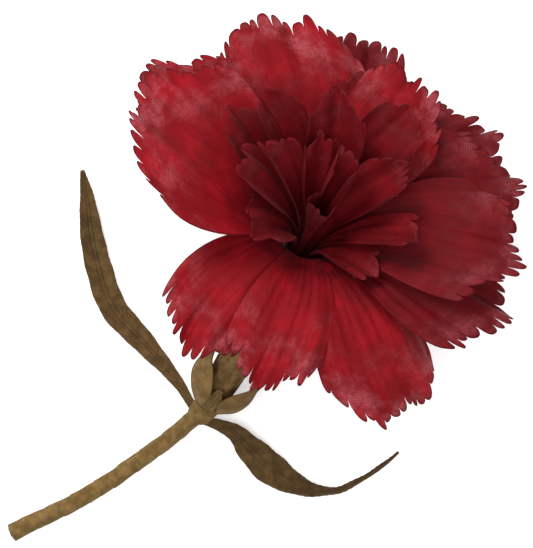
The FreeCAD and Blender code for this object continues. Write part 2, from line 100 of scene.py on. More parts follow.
class nodeBook:
    # short way to wire a material's nodes
    def __init__(self, name):
        self.material = bpy.data.materials.new(name)
        self.material.use_nodes = True
        self.nodes = self.material.node_tree.nodes
        self.links = self.material.node_tree.links
        self.shader = self.nodes["Principled BSDF"]

    def join(self, output, target):
        self.links.new(output, self.shader.inputs[target])

    def surface(self, values):
        for target, value in values.items():
            self.shader.inputs[target].default_value = value

    def math(self, operation, first, second=None):
        node = self.nodes.new("ShaderNodeMath")
        node.operation = operation
        for slot, value in enumerate((first, second)):
            if value is None:
                continue
            if isinstance(value, (int, float)):
                node.inputs[slot].default_value = value
            else:
                self.links.new(value, node.inputs[slot])
        return node.outputs[0]

    def plus(self, first, second):
        return self.math("ADD", first, second)

    def times(self, first, second):
        return self.math("MULTIPLY", first, second)

    def mix(self, factor, first, second, blend="MIX"):
        node = self.nodes.new("ShaderNodeMix")
        node.data_type = "RGBA"
        node.blend_type = blend
        for slot, value in ((0, factor), (6, first), (7, second)):
            if isinstance(value, (int, float, tuple)):
                node.inputs[slot].default_value = value
            else:
                self.links.new(value, node.inputs[slot])
        return node.outputs[2]

    def step(self, value, span, ends=(0.0, 1.0)):
        node = self.nodes.new("ShaderNodeMapRange")
        node.interpolation_type = "SMOOTHSTEP"
        self.links.new(value, node.inputs[0])
        for slot, number in enumerate((*span, *ends), 1):
            node.inputs[slot].default_value = number
        return node.outputs[0]

    def noise(self, vector, scale, detail=3.0, roughness=0.5):
        node = self.nodes.new("ShaderNodeTexNoise")
        node.inputs["Scale"].default_value = scale
        node.inputs["Detail"].default_value = detail
        node.inputs["Roughness"].default_value = roughness
        self.links.new(vector, node.inputs["Vector"])
        return node.outputs[0]

    def stretch(self, vector, scale):
        node = self.nodes.new("ShaderNodeMapping")
        node.inputs["Scale"].default_value = scale
        self.links.new(vector, node.inputs["Vector"])
        return node.outputs[0]

    def place(self):
        return self.nodes.new("ShaderNodeTexCoord").outputs["Object"]

    def uv(self, layer):
        node = self.nodes.new("ShaderNodeUVMap")
        node.uv_map = layer
        split = self.nodes.new("ShaderNodeSeparateXYZ")
        self.links.new(node.outputs[0], split.inputs[0])
        return node.outputs[0], split.outputs[0], split.outputs[1]

    def threads(self, coordinate, perMillimetre):
        # 0..1 ridge for every thread
        turned = self.times(coordinate, perMillimetre * math.pi)
        return self.math("ABSOLUTE", self.math("SINE", turned))

    def bump(self, height, strength, distance):
        node = self.nodes.new("ShaderNodeBump")
        node.inputs["Strength"].default_value = strength
        node.inputs["Distance"].default_value = distance
        self.links.new(height, node.inputs["Height"])
        self.links.new(node.outputs[0], self.shader.inputs["Normal"])

    def shade(self, colour, value):
        grey = self.nodes.new("ShaderNodeCombineColor")
        for slot in range(3):
            self.links.new(value, grey.inputs[slot])
        return self.mix(1.0, colour, grey.outputs[0], "MULTIPLY")


def petalCloth(name, look):
    # organza: threads both ways, painted shade deep in the throat and along the fold streaks, paler at the
    # thinner rim where painted light shows through the cloth in moiré bands, dark singed edge
    book = nodeBook(name)
    where, across, along = book.uv("cloth")
    side, share = book.uv("span")[1:]
    cloudy = book.noise(where, look["cloudScale"], 4.0)
    streaks = book.noise(book.stretch(where, look["streakStretch"]), look["streakScale"])
    warp = book.threads(across, look["threadsPerMm"])
    weft = book.threads(along, look["threadsPerMm"])
    weave = book.times(warp, weft)
    drift = book.times(book.noise(where, look["driftScale"], 2.0), look["drift"])
    slanted = book.plus(along, book.times(across, look["moireSlant"]))
    bands = book.threads(book.plus(slanted, drift), look["moirePerMm"])
    # painted shade: the colour darkens towards the throat, where the petals shade each other
    deep = book.mix(book.step(share, look["throatSpan"]), look["throat"], look["body"])
    lit = book.mix(book.step(cloudy, look["cloudSpan"]), deep, look["bright"])
    # painted shade: dark streaks along the folds, mixed towards the throat's shade colour
    foldShade = book.times(book.step(streaks, look["foldShadeSpan"]), look["foldShadeTone"])
    lit = book.mix(foldShade, lit, look["throat"])
    # painted light: near the rim, in patches and moiré bands, the colour turns pale as if the floor's light
    # showed through the thin cloth
    rim = book.step(share, (look["rimStart"], look["rimEnd"]))
    patches = book.step(book.noise(where, look["patchScale"], 5.0, 0.62), look["patchSpan"])
    fine = book.step(book.noise(where, look["fineScale"], 4.0, 0.7), look["fineSpan"], look["fineTones"])
    sheerBacklight = book.times(book.times(book.times(rim, patches), look["sheerBacklight"]), fine)
    banded = book.plus(book.times(bands, look["bandTone"]), 1.0 - look["bandTone"])
    backlit = book.mix(book.times(sheerBacklight, banded), lit, look["backlightColour"])
    shaded = book.shade(backlit, book.plus(book.times(weave, look["threadTone"]), look["threadBase"]))
    fromMiddle = book.math("ABSOLUTE", book.math("SUBTRACT", side, 0.5))
    tip = book.step(share, look["singeTip"])
    edge = book.math("MAXIMUM", tip, book.step(fromMiddle, look["singeSide"]))
    book.join(book.mix(book.times(edge, look["singeTone"]), shaded, look["singe"]), "Base Color")
    book.join(book.plus(book.times(cloudy, look["roughCloud"]), look["rough"]), "Roughness")
    book.surface({
        "Sheen Weight": look["sheen"], "Sheen Roughness": look["sheenRough"],
        "Sheen Tint": look["sheenTint"], "Specular IOR Level": look["specular"],
    })
    folds = book.plus(book.times(streaks, look["streakRelief"]), book.times(weave, look["weaveRelief"]))
    book.bump(folds, look["bump"], look["relief"])
    return book.material


def wovenCloth(name, look):
    # wound, pressed or felted cloth: threads, blotches and a worn tone on the fuzz
    book = nodeBook(name)
    where, across, along = book.uv("cloth")
    blotch = book.noise(where, look["blotchScale"], 5.0, 0.6)
    fuzz = book.noise(where, look["fuzzScale"], 2.0, 0.7)
    slanted = book.plus(across, book.times(along, look["slant"]))
    warp = book.threads(slanted, look["threadsPerMm"])
    weft = book.threads(along, look["threadsPerMm"])
    weave = book.math("MAXIMUM", warp, weft)
    colour = book.mix(book.step(blotch, look["blotchSpan"]), look["dark"], look["light"])
    grain = book.plus(book.times(weave, look["threadTone"]), 1.0 - look["threadTone"] * 0.6)
    colour = book.shade(colour, grain)
    rubbed = book.times(book.step(fuzz, look["wornSpan"]), look["wornTone"])
    book.join(book.mix(rubbed, colour, look["worn"]), "Base Color")
    book.join(book.plus(book.times(fuzz, look["roughFuzz"]), look["rough"]), "Roughness")
    book.surface({
        "Sheen Weight": look["sheen"], "Sheen Roughness": look["sheenRough"],
        "Specular IOR Level": look["specular"],
    })
    book.bump(book.plus(book.times(weave, look["weaveRelief"]), fuzz), look["bump"], look["relief"])
    return book.material


def metal(name, look):
    # steel seen close: fine drawn lines, cloudy roughness, a few dull spots
    book = nodeBook(name)
    place = book.place()
    lines = book.noise(book.stretch(place, look["drawn"]), look["lineScale"])
    spots = book.noise(place, look["spotScale"], 4.0)
    book.join(book.mix(book.step(spots, look["spotSpan"]), look["clean"], look["dull"]), "Base Color")
    rough = book.plus(book.times(lines, look["lineRough"]), book.times(spots, look["spotRough"]))
    book.join(book.plus(rough, look["rough"]), "Roughness")
    book.surface({"Metallic": 1.0})
    book.bump(lines, look["bump"], look["relief"])
    return book.material


def setGlue(name, look):
    book = nodeBook(name)
    cloudy = book.noise(book.place(), look["cloudScale"], 4.0)
    book.join(book.mix(cloudy, look["clear"], look["amber"]), "Base Color")
    book.join(book.plus(book.times(cloudy, look["roughCloud"]), look["rough"]), "Roughness")
    book.surface({"Subsurface Weight": look["subsurface"]})
    book.bump(cloudy, look["bump"], look["relief"])
    return book.material


# the throat and fold streak colours are painted shade; the pale rim colour is painted light seen through
# the cloth
petalLook = {
    "throat": (0.05, 0.0005, 0.003, 1), "body": (0.175, 0.001, 0.004, 1), "throatSpan": (0.18, 0.7),
    "bright": (0.28, 0.002, 0.008, 1), "cloudScale": 0.09, "cloudSpan": (0.4, 0.72),
    "streakStretch": (2.6, 0.16, 1.0), "streakScale": 0.55, "foldShadeSpan": (0.45, 0.75),
    "foldShadeTone": 0.35, "threadsPerMm": 2.2, "threadTone": 0.3, "threadBase": 0.8,
    "backlightColour": (0.58, 0.17, 0.2, 1), "sheerBacklight": 0.62, "rimStart": 0.64, "rimEnd": 1.02,
    "patchScale": 0.1, "patchSpan": (0.42, 0.7),
    "fineScale": 1.1, "fineSpan": (0.3, 0.7), "fineTones": (0.35, 1.0),
    "moirePerMm": 1.8, "moireSlant": 0.35, "driftScale": 0.22, "drift": 2.4, "bandTone": 0.7,
    "singe": (0.09, 0.001, 0.005, 1), "singeTip": (0.982, 0.997), "singeSide": (0.484, 0.497),
    "singeTone": 0.75, "rough": 0.6, "roughCloud": 0.2, "specular": 0.12,
    "sheen": 0.02, "sheenRough": 0.35, "sheenTint": (1.0, 0.55, 0.58, 1.0),
    "streakRelief": 0.8, "weaveRelief": 0.25, "bump": 0.5, "relief": 0.0003,
}
outerCloth = petalCloth("outer_petal_organza", petalLook)
# painted shade: a darker copy of the outer organza, with less see-through light, for the overlapping petals
# on the side away from the key lamp
shadedOuterCloth = petalCloth("outer_petal_painted_shade", {
    **petalLook, "body": (0.1, 0.001, 0.003, 1), "bright": (0.15, 0.001, 0.005, 1), "sheerBacklight": 0.3,
    "rimStart": 0.7,
})
# painted shade: a darker copy of the organza, with less see-through light, for the inner petals deep in the
# flower's middle
innerCloth = petalCloth("inner_petal_organza", {
    **petalLook, "body": (0.11, 0.001, 0.003, 1), "bright": (0.17, 0.002, 0.006, 1), "sheerBacklight": 0.15,
    "rimStart": 0.75,
})
stemLook = {
    "dark": (0.1, 0.058, 0.018, 1), "light": (0.18, 0.112, 0.04, 1), "worn": (0.22, 0.145, 0.065, 1),
    "blotchScale": 0.35, "blotchSpan": (0.35, 0.68), "fuzzScale": 3.5, "wornSpan": (0.5, 0.8),
    "wornTone": 0.3, "threadsPerMm": 1.8, "slant": 0.4, "threadTone": 0.3, "rough": 0.8, "roughFuzz": 0.15,
    "specular": 0.1, "sheen": 0.02, "sheenRough": 0.5, "weaveRelief": 0.5, "bump": 0.5, "relief": 0.0003,
}
stemCloth = wovenCloth("stem_cloth", stemLook)
calyxCloth = wovenCloth("calyx_cloth", {**stemLook, "light": (0.2, 0.125, 0.05, 1), "slant": 0.0})
bractCloth = wovenCloth("bract_cloth", {**stemLook, "dark": (0.1, 0.058, 0.02, 1), "threadTone": 0.2})
leafCloth = wovenCloth("leaf_cloth", {
    **stemLook, "dark": (0.055, 0.031, 0.011, 1), "light": (0.1, 0.058, 0.021, 1),
    "worn": (0.15, 0.095, 0.045, 1), "sheen": 0.03, "slant": 0.6, "threadsPerMm": 1.5,
})
padFelt = wovenCloth("pad_felt", {
    **stemLook, "threadTone": 0.05, "fuzzScale": 6.0, "blotchScale": 1.5, "rough": 0.85,
})
steelLook = {
    "lineScale": 900.0, "lineRough": 0.16, "spotScale": 220.0, "spotSpan": (0.4, 0.75), "spotRough": 0.14,
    "bump": 0.15, "relief": 0.0001,
}
clipSteel = metal("clip_steel", {
    **steelLook, "clean": (0.7, 0.7, 0.71, 1), "dull": (0.52, 0.51, 0.5, 1), "rough": 0.2,
    "drawn": (1.0, 0.06, 1.0),
})
rivetSteel = metal("rivet_steel", {
    **steelLook, "clean": (0.6, 0.6, 0.61, 1), "dull": (0.4, 0.39, 0.38, 1), "rough": 0.25,
    "drawn": (0.2, 1.0, 1.0),
})
springSteel = metal("spring_steel", {
    **steelLook, "clean": (0.48, 0.48, 0.5, 1), "dull": (0.3, 0.29, 0.28, 1), "rough": 0.28,
    "drawn": (0.1, 1.0, 1.0),
})
wireSteel = metal("stem_wire_steel", {
    **steelLook, "clean": (0.45, 0.44, 0.43, 1), "dull": (0.25, 0.22, 0.2, 1), "rough": 0.35,
    "drawn": (1.0, 0.05, 1.0),
})
glue = setGlue("set_glue", {
    "clear": (0.8, 0.74, 0.58, 1), "amber": (0.55, 0.42, 0.2, 1), "cloudScale": 400.0, "rough": 0.25,
    "roughCloud": 0.2, "subsurface": 0.2, "bump": 0.3, "relief": 0.0003,
})
for node, material in (
    ("upper_arm", clipSteel), ("lower_arm", clipSteel), ("hinge_pin", rivetSteel),
    ("torsion_spring", springSteel), ("stem_wire", wireSteel), ("petal_plug", glue),
):
    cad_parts[node].data.materials.clear()
    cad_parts[node].data.materials.append(material)
print("materials made")


# lengths in mm and angles in degrees from here on
calyx = {
    "foot": (0.0, -26.0, 6.4), "tilt": 16.0, "length": 38.0, "lip": 2.0,
    "baseRadius": 3.7, "mouthRadius": 6.2, "bellyAt": 0.35, "belly": 1.1, "flareDown": 8.0,
    "flareEnd": 60.0, "waist": 0.25, "waistLength": 4.0, "inset": 0.12, "spare": 0.25,
    "lobes": 5, "lobeDepth": 1.6, "ribs": 10, "rib": 0.12, "ribFade": 12.0,
    "dent": 0.18, "dentRates": (0.35, 0.11), "gauge": 0.4, "clothRadius": 5.0, "columns": 96, "rows": 90,
}
head = {
    "tilt": 60.0, "claw": 16.0, "ring": 5.4, "layerStep": 0.44, "steps": 240,
    "fullAt": 0.75, "swellPower": 1.8,
}


def leaning(tilt):
    angle = np.radians(tilt)
    return np.stack([np.zeros_like(angle), np.cos(angle), np.sin(angle)], -1)


calyxAxis = leaning(np.array(calyx["tilt"]))
calyxFoot = np.array(calyx["foot"])
calyxMouth = calyxFoot + calyxAxis * calyx["length"]


def middleLine(shape):
    # radius, axis point, tilt and lean at many places out along the petal
    layer, reach = shape[1:3]
    rise, spreadOut, curl = shape[4:]
    stride = (head["claw"] + reach) / head["steps"]
    radius = head["ring"] - layer * head["layerStep"]
    middle = calyxMouth.copy()
    height = 0.0
    risen = 0.0
    line = []
    for number in range(head["steps"] + 1):
        along = number * stride
        risen = max(risen, min(1, height / head["claw"]))
        lean = calyx["tilt"] + (head["tilt"] - calyx["tilt"]) * ramp(risen)
        if along < head["claw"]:
            tilt = rise * (along / head["claw"]) ** 3
        else:
            out = (along - head["claw"]) / reach
            tilt = rise + (spreadOut - rise) * (1 - (1 - out) ** 3) + (curl - spreadOut) * out ** 2
        line.append((along, radius, middle[1], middle[2], tilt, lean))
        radius += stride * math.sin(math.radians(tilt))
        height += stride * math.cos(math.radians(tilt))
        middle = middle + leaning(np.array(lean)) * (stride * math.cos(math.radians(tilt)))
    return np.array(line).T


def halfWidth(shape, widths, along):
    # widths: at the claw's end and at the throat
    reach, breadth = shape[2:4]
    share = np.clip(along / head["claw"], 0, 1)
    claw = widths[0] + (widths[1] - widths[0]) * share ** 2
    out = np.clip((along - head["claw"]) / reach, 0, 1)
    swell = np.sin(np.minimum(1, out / head["fullAt"]) * math.pi / 2) ** head["swellPower"]
    return np.where(along < head["claw"], claw, widths[1] + (breadth - widths[1]) * swell) / 2


def fringe(breadth, look, dice):
    # snipped round-ended fingers of uneven width and length, gathered in scallops
    count = max(look["fewestFingers"], round(breadth / look["fingerWidth"]))
    ends = np.cumsum(np.concatenate([[0], dice.uniform(*look["fingerWidths"], count)]))
    ends = ends / ends[-1] * 2 - 1
    within = np.array(look["fingerStations"])
    number = np.repeat(np.arange(count), len(within))
    within = np.tile(within, count)
    across = np.append(ends[number] + within * (ends[number + 1] - ends[number]), 1.0)
    number = np.append(number, count - 1)
    within = np.append(within, 1.0)
    lengths = dice.uniform(*look["fingerLengths"], count)[number]
    gaps = dice.uniform(*look["slitDepths"], count + 1)
    slit = gaps[number] * (1 - within) + gaps[number + 1] * within
    finger = np.sqrt(np.clip(1 - np.abs(2 * within - 1) ** 3, 0, 1))
    reached = look["fingerLength"] * (slit * (1 - finger) + finger * lengths - look["fringeSink"])
    scallop = 0
    for rate, size in look["scallops"]:
        scallop = scallop + size * np.cos(across * math.pi * rate + dice.uniform(0, anyPhase))
    bend = dice.uniform(-1, 1, count)[number] * look["fingerBend"] * finger
    return across, reached + look["scallopDepth"] * scallop, bend


def petal(name, shape, widths, look, material, seed):
    dice = np.random.default_rng(seed)
    turn, reach, breadth = shape[0], shape[2], shape[3]
    shape = shape[:5] + (shape[5] - look["tuck"], shape[6] - look["tuck"])
    whole = head["claw"] + reach
    across, snipped, bend = fringe(breadth, look, dice)
    edge = whole - look["edgeRound"] * breadth * across ** 2 + snipped
    share = np.linspace(0, 1, look["rows"])[:, None] ** look["rowPower"]
    along = share * edge[None, :]
    side = np.broadcast_to(across, along.shape)
    line = middleLine(shape)
    reachAt = np.minimum(along, whole)
    radius, midY, midZ, tilt, lean = (np.interp(reachAt, line[0], row) for row in line[1:])
    over = along - reachAt  # fingers that pass the middle line's end go on straight
    foldFoot = head["claw"] * look["foldsFrom"]
    out = np.clip((along - foldFoot) / (whole - foldFoot), 0, look["foldsTo"])
    gathering = 1 + (look["gather"] - 1) * ramp(out * look["gatherRate"])
    half = halfWidth(shape, widths, reachAt) * gathering
    twist = (look["lean"] + look["twist"] * dice.uniform(-1, 1)) * out ** 2
    angle = np.radians(turn + twist) + side * half / radius
    axis = leaning(lean)
    outwards = np.stack([np.zeros_like(lean), axis[..., 2], -axis[..., 1]], -1)
    ray = outwards * np.cos(angle)[..., None]
    ray[..., 0] += np.sin(angle)
    tilted = np.radians(tilt)[..., None]
    normal = axis * np.sin(tilted) - ray * np.cos(tilted)
    forward = axis * np.cos(tilted) + ray * np.sin(tilted)
    middle = np.stack([np.zeros_like(midY), midY, midZ], -1)
    lift = np.zeros_like(along)
    for waves, size, power in look["ruffles"]:
        phase = dice.uniform(0, anyPhase)
        lift += size * np.sin(side * waves * math.pi + phase + out * look["drift"]) * out ** power
    sway = look["pleatSway"] * np.sin(out * look["pleatSwayRate"])
    pleat = np.sin(side * look["pleats"] * math.pi + dice.uniform(0, anyPhase) + sway)
    lift += look["pleatDepth"] * pleat * ramp(out * look["pleatRate"])
    cup = look["cup"] * dice.uniform(*look["cupSpread"])
    lift += cup * np.abs(side) ** look["cupSidePower"] * out ** look["cupOutPower"]
    lift += bend * ramp((along - edge + look["fingerLength"]) / look["fingerLength"])
    place = middle + ray * radius[..., None] + normal * lift[..., None] + forward * over[..., None]
    spans = spread(along, side * half, along, side * 0.5 + 0.5, share)
    obj = gridObject(name, place, spans, material)
    addThickness(obj, look["gauge"])
    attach(obj, flowerBody)
    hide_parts(name)


# turn about the head, layer from outside, reach, breadth, then tilts at throat, middle and tip
outerPetals = [
    (318, 2, 50, 44, 29, 73, 80),
    (347, 1, 47, 34, 33, 76, 86),
    (5, 3, 43, 33, 27, 66, 76),
    (30, 0, 48, 36, 36, 84, 94),
    (50, 2, 49, 38, 30, 78, 88),
    (73, 3, 49, 35, 27, 72, 84),
    (91, 1, 48, 32, 33, 84, 96),
    (131, 0, 49, 34, 34, 107, 136),
    (166, 2, 43, 34, 30, 92, 122),
    (206, 1, 42, 30, 33, 104, 130),
    (256, 3, 54, 46, 27, 72, 84),
    (285, 0, 50, 38, 36, 82, 94),
]
innerPetals = [
    (275, 4, 37, 16, 22, 50, 60),
    (8, 4, 38, 16, 22, 42, 48),
    (120, 4, 22, 13, 22, 50, 60),
    (303, 5, 38, 14, 19, 46, 50),
    (90, 5, 32, 11, 19, 38, 50),
    (228, 6, 30, 16, 16, 44, 56),
    (338, 6, 37, 18, 16, 32, 36),
    (250, 7, 36, 14, 13, 40, 54),
    (49, 7, 33, 16, 13, 26, 34),
    (264, 8, 35, 12, 10, 28, 44),
    (315, 9, 30, 12, 7, 28, 34),
    (190, 10, 24, 14, 5, 24, 30),
    (356, 10, 32, 14, 3, 12, 16),
]
outerLook = {
    "slot": "outer_petal_organza", "widths": (3.8, 9.2), "seeds": 20,
    "rows": 44, "rowPower": 0.8, "edgeRound": 0.28, "gauge": 0.14,
    "fingerWidth": 2.4, "fingerLength": 3.6, "fingerBend": 0.5, "fewestFingers": 5,
    "fingerWidths": (0.6, 1.4), "fingerLengths": (0.4, 1.0), "slitDepths": (-0.5, 0.2),
    "fringeSink": 0.65, "fingerStations": (0, 0.04, 0.12, 0.24, 0.4, 0.6, 0.76, 0.88, 0.96),
    "scallops": ((2.2, 0.5), (2.2 * 2.3, 0.25)), "scallopDepth": 2.2,
    "twist": 2.0, "lean": 0.0, "tuck": 0.0, "gather": 1.0, "gatherRate": 1.4,
    "foldsFrom": 0.6, "foldsTo": 1.05, "ruffles": [(1.5, 1.3, 1.6), (3.2, 1.0, 2.4), (6.5, 0.5, 4.0)],
    "drift": 2.0, "pleats": 9, "pleatDepth": 0.1, "pleatRate": 1.6, "pleatSway": 1.5, "pleatSwayRate": 4,
    "cup": 1.0, "cupSpread": (0.7, 1.2), "cupSidePower": 2.4, "cupOutPower": 1.5,
    "areaStations": 60, "cutShare": 0.96, "leastShare": 0.3,
}
innerLook = {
    **outerLook, "slot": "inner_petal_organza", "widths": (2.0, 3.6), "seeds": 60, "rows": 40,
    "fingerWidth": 2.1, "fingerLength": 2.6, "fingerBend": 0.4,
    "scallops": ((1.4, 0.5), (1.4 * 2.3, 0.25)), "scallopDepth": 1.2,
    "twist": 10.0, "ruffles": [(1.2, 0.9, 1.4), (2.4, 0.8, 2.2)], "pleats": 4, "cup": 3.8,
}
# petals that lean, fold or gather apart from their neighbours
foldedPetals = {
    1: {"lean": -5.0, "gather": 1.1}, 3: {"cup": 2.5}, 8: {"cup": -2.0, "lean": -7.0, "gather": 0.92},
    9: {"cup": -4.0, "lean": 5.0, "gather": 0.76}, 10: {"cup": -3.0, "lean": -9.0, "gather": 0.86},
    11: {"lean": 12.0}, 12: {"lean": -7.0, "cup": 3.0},
}
foldedInside = {6: {"lean": -12.0, "cup": 1.5}, 12: {"tuck": 12.0, "twist": 0.0}}
# outer petals that wear the painted shade copy of the organza
shadedPetals = (2, 4, 5, 6, 7)
for number, shape in enumerate(outerPetals, 1):
    look = {**outerLook, **foldedPetals.get(number, {})}
    cloth = shadedOuterCloth if number in shadedPetals else outerCloth
    petal(f"outer_petal_{number:02d}", shape, look["widths"], look, cloth, look["seeds"] + number)
for number, shape in enumerate(innerPetals, 1):
    look = {**innerLook, **foldedInside.get(number, {})}
    petal(f"inner_petal_{number:02d}", shape, look["widths"], look, innerCloth, look["seeds"] + number)
print("petals cut and ruffled:", len(outerPetals) + len(innerPetals))


def aboutCalyx(height, radius, angle):
    # angle 0 looks down at the table, 90 to +X
    down = np.array([0.0, calyxAxis[2], -calyxAxis[1]])
    place = calyxFoot + calyxAxis * height[..., None]
    place = place + down * (radius * np.cos(angle))[..., None]
    place[..., 0] += radius * np.sin(angle)
    return place


def makeCalyx():
    turn = np.linspace(0, fullTurn, calyx["columns"], endpoint=False)
    lobed = calyx["lobeDepth"] * (0.5 - 0.5 * np.cos(turn * calyx["lobes"]))
    share = np.linspace(0, 1, calyx["rows"])[:, None]
    height = share * (calyx["length"] + calyx["lip"] - lobed)[None, :]
    flare = calyx["length"] - calyx["flareDown"]
    stations = [0, calyx["bellyAt"] * calyx["length"], flare, calyx["flareEnd"]]
    base, mouth = calyx["baseRadius"], calyx["mouthRadius"]
    radius = np.interp(height, stations, [base, base * calyx["belly"], mouth, mouth])
    waist = np.exp(-((height - flare) / calyx["waistLength"]) ** 2) * calyx["waist"]
    around = np.broadcast_to(turn, height.shape)
    ribs = calyx["rib"] * np.cos(around * calyx["ribs"]) * ramp(height / calyx["ribFade"])
    radius = radius - calyx["inset"] - waist + ribs
    steep, slow = calyx["dentRates"]
    radius += calyx["dent"] * np.sin(height * steep + around * 2) * np.sin(height * slow + 1)
    radius = np.minimum(radius, mouth + calyx["spare"])
    place = aboutCalyx(height, radius, around)
    spans = spread(height, around * calyx["clothRadius"], height, around / fullTurn, share)
    spans = closeSpans(spans, fullTurn * calyx["clothRadius"])
    obj = gridObject("calyx", place, spans, calyxCloth, wrap=True)
    addThickness(obj, calyx["gauge"], -1.0)
    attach(obj, flowerBody)
    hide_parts("calyx")


def smoothThrough(stations, count):
    # even curve through given stations
    values = np.array(stations, float)
    slopes = np.gradient(values, axis=0)
    places = np.linspace(0, len(values) - 1, count)
    low = np.minimum(places.astype(int), len(values) - 2)
    t = (places - low)[:, None]
    a, b, da, db = values[low], values[low + 1], slopes[low], slopes[low + 1]
    return ((2 * t ** 3 - 3 * t ** 2 + 1) * a + (t ** 3 - 2 * t ** 2 + t) * da
            + (-2 * t ** 3 + 3 * t ** 2) * b + (t ** 3 - t ** 2) * db)


def makeBract(name, turn, stations, look):
    # stations: height, gap outside the calyx's foot, half angle
    line = smoothThrough(stations, look["rows"])
    side = np.linspace(-1, 1, look["columns"])[None, :]
    height = line[:, :1] * (1 - look["droop"] * side ** 2)
    share = np.linspace(0, 1, look["rows"])[:, None]
    radius = calyx["baseRadius"] + look["clear"] + line[:, 1:2] + look["flare"] * side ** 2 * share
    radius = radius + look["crease"] * np.exp(-(side / look["creaseWidth"]) ** 2) * share
    radius = radius + look["ripple"] * np.sin(side * look["ripples"] + share * 3) * share
    angle = np.radians(turn) + np.radians(line[:, 2:3]) * side
    place = aboutCalyx(height, radius, angle)
    spans = spread(height, side * look["clothHalf"], height, side * 0.5 + 0.5, share)
    obj = gridObject(name, place, spans, bractCloth)
    addThickness(obj, look["gauge"])
    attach(obj, flowerBody)
    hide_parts(name)


makeCalyx()
bractLook = {
    "rows": 40, "columns": 25, "clear": 0.3, "droop": 0.08, "flare": 0.6, "crease": 0.25,
    "creaseWidth": 0.12, "ripple": 0.12, "ripples": 9, "clothHalf": 4, "gauge": 0.5,
}
bracts = {
    "bract_left": (242, [(0.4, 0.15, 44), (3, 2.4, 54), (6.5, 3.9, 54), (11, 3.4, 38), (15, 2.6, 10)]),
    "bract_right": (106, [(0.4, 0.15, 44), (2.4, 2.6, 56), (5.5, 4.2, 58), (9, 4.5, 42), (12, 4.2, 8)]),
    "bract_front": (174, [(0.4, 0.15, 14), (2.5, 1.1, 16), (5, 1.9, 14), (7, 2.2, 5)]),
}
for name, (turn, stations) in bracts.items():
    makeBract(name, turn, stations, bractLook)
print("calyx and bracts made")


stem = {
    "route": [(-27, -78.5, 2.2), (-14.5, -60.5, 2.2), (-4.6, -39, 3.2), calyx["foot"]],
    "bendShare": 0.45, "bendSteps": 24, "rows": 420, "columns": 56, "radius": 2.15, "inset": 0.12,
    "tapePitch": 7.0, "tapeStep": 0.16, "lapFade": 12, "wobble": 0.06, "lumpRates": (0.55, 0.12, 1.3),
    "endFlare": 0.15, "endFlareLength": 6.0, "endRound": 0.5, "endRows": 12, "endRadius": 0.02,
}
collar = {
    "radius": 3.2, "length": 5.0, "past": 0.6, "rows": 40, "shoulder": 2.5,
    "lump": 0.1, "tapePitch": 2.2, "tapeStep": 0.12,
}


def unit(vectors):
    return vectors / np.linalg.norm(vectors, axis=-1, keepdims=True)


def stemLine(count):
    corners = [np.array(point, float) for point in stem["route"]]
    places = []
    for before, corner, after in zip(corners, corners[1:], corners[2:]):
        back, ahead = before - corner, after - corner
        cut = stem["bendShare"] * min(np.linalg.norm(back), np.linalg.norm(ahead))
        start = corner + unit(back) * cut
        end = corner + unit(ahead) * cut
        for t in np.linspace(0, 1, stem["bendSteps"]):
            places.append((1 - t) ** 2 * start + 2 * t * (1 - t) * corner + t ** 2 * end)
    places = np.array([corners[0]] + places + [corners[-1]])
    gone = np.concatenate([[0], np.cumsum(np.linalg.norm(np.diff(places, axis=0), axis=1))])
    even = np.linspace(0, gone[-1], count)
    return even, np.stack([np.interp(even, gone, places[:, axis]) for axis in range(3)], -1)


def sidesOf(line):
    # level and upright directions across a line
    way = unit(np.gradient(line, axis=0))
    level = unit(np.cross(way, [0, 0, 1.0]))
    return level, np.cross(level, way)


def tubeAlong(name, along, line, radiusAt):
    level, upright = sidesOf(line)
    turn = np.linspace(0, fullTurn, stem["columns"], endpoint=False)
    around = np.broadcast_to(turn, (len(along), stem["columns"]))
    far = np.broadcast_to(along[:, None], around.shape)
    radius = radiusAt(far, around)
    place = line[:, None] + level[:, None] * (radius * np.cos(around))[..., None]
    place = place + upright[:, None] * (radius * np.sin(around))[..., None]
    spans = spread(far, around * stem["radius"], far, around / fullTurn, far / along[-1])
    spans = closeSpans(spans, fullTurn * stem["radius"])
    obj = gridObject(name, place, spans, stemCloth, wrap=True, capped=True)
    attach(obj, flowerBody)
    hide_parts(name)


def wound(far, around):
    lap = (far / stem["tapePitch"] + around / fullTurn) % 1.0
    step = stem["tapeStep"] * (1 - lap) * ramp(lap * stem["lapFade"])
    slow, turning, quick = stem["lumpRates"]
    lumps = np.sin(far * slow + 1) * np.cos(around + far * turning)
    lumps = lumps + 0.5 * np.sin(far * quick + around)
    body = stem["radius"] - stem["inset"] + step + lumps * stem["wobble"]
    body = body + stem["endFlare"] * np.exp(-(far / stem["endFlareLength"]) ** 2)
    closing = np.sqrt(np.clip(far / stem["endRound"], 0, 1))  # the blunt end is rounded over
    least = stem["endRadius"]
    return np.maximum(body * (least + (1 - least) * closing), least)


def collared(gone, around):
    shoulder = np.sqrt(ramp(gone / collar["shoulder"]))
    swell = stem["radius"] + (collar["radius"] - stem["radius"]) * shoulder
    lap = (gone / collar["tapePitch"] + around / fullTurn) % 1.0
    return swell + collar["lump"] * np.sin(around * 3 + gone) + collar["tapeStep"] * lap


def makeStem():
    along, line = stemLine(stem["rows"])
    ends = np.linspace(0, stem["endRound"], stem["endRows"])
    ease = np.concatenate([ends, along[along > stem["endRound"] + 0.1]])
    line = np.stack([np.interp(ease, along, line[:, axis]) for axis in range(3)], -1)
    tubeAlong("stem_wrap", ease, line, wound)
    way = unit(calyxFoot - np.array(stem["route"][-2], float))
    far = np.linspace(0, collar["length"] + collar["past"], collar["rows"])
    line = calyxFoot - way * (collar["length"] - far)[:, None]
    tubeAlong("leaf_collar", far, line, collared)


makeStem()
print("stem wound")


